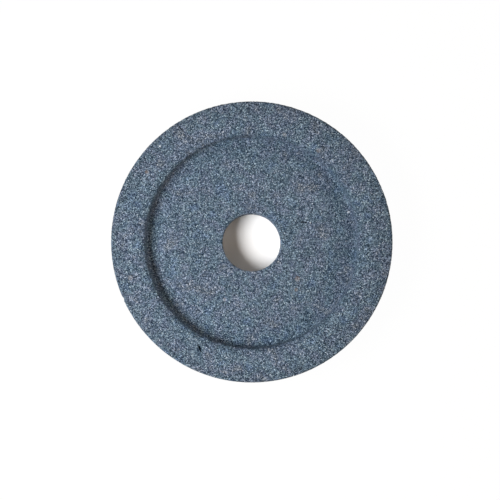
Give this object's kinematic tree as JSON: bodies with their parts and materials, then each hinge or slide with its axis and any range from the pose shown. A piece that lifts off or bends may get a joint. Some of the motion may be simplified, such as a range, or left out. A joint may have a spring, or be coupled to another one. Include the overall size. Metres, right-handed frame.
{
  "type": "recessed grinding wheel",
  "caption": "Flat round abrasive grinding wheel with a plain central bore and a wide shallow recess in one face.",
  "frame": {"origin": "on the bore's axis, at the flat back face that the wheel lies on", "axes": "+Z along the bore's axis, from the flat back towards the recessed face; +X and +Y are any two directions across the wheel"},
  "size_m": [0.1524, 0.1524, 0.0191],
  "materials": {
    "vitrified_abrasive": "fired grey-blue abrasive grain, matt and open-pored, about 36 grit"
  },
  "bodies": {
    "root": {"grinding_wheel": "vitrified_abrasive"}
  },
  "joints": []
}
